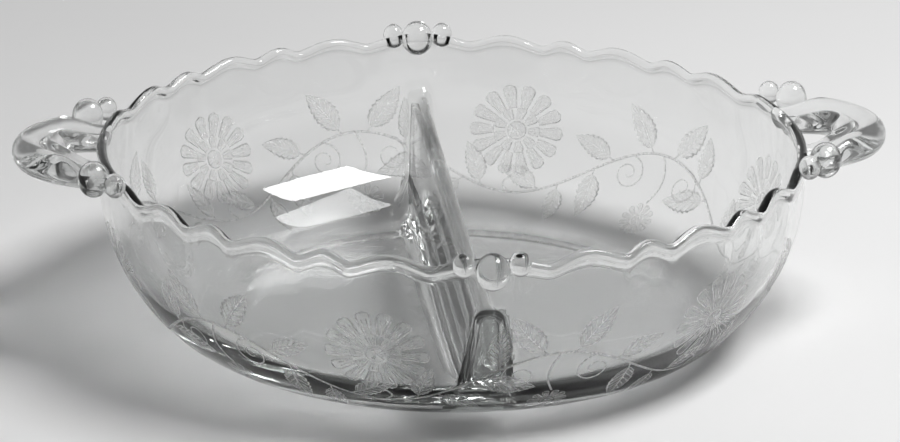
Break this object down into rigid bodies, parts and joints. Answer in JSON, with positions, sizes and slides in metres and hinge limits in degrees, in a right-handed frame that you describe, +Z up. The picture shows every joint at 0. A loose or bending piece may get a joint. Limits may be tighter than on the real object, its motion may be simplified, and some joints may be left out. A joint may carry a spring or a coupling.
{
  "type": "divided bowl",
  "caption": "Round clear-glass serving bowl with a scalloped rim, pearl beads, loop handles and a fixed partition that separates its left and right compartments.",
  "frame": {"origin": "on the table, under the middle of the bowl", "axes": "+Z up, -Y toward the front, +X toward the right handle; the partition runs along Y"},
  "size_m": [0.2818, 0.2436, 0.0676],
  "materials": {
    "glass": "clear, fire polished, with frosted decoration on the wall"
  },
  "bodies": {
    "root": {"bead_front_big": "glass", "bead_front_left": "glass", "bead_front_right": "glass", "bead_left_handle_front_big": "glass", "bead_left_handle_front_small": "glass", "bead_left_handle_rear_big": "glass", "bead_left_handle_rear_small": "glass", "bead_rear_big": "glass", "bead_rear_left": "glass", "bead_rear_right": "glass", "bead_right_handle_front_big": "glass", "bead_right_handle_front_small": "glass", "bead_right_handle_rear_big": "glass", "bead_right_handle_rear_small": "glass", "bowl_shell": "glass", "divider": "glass", "foot_ring": "glass", "handle_left": "glass", "handle_right": "glass"}
  },
  "joints": []
}
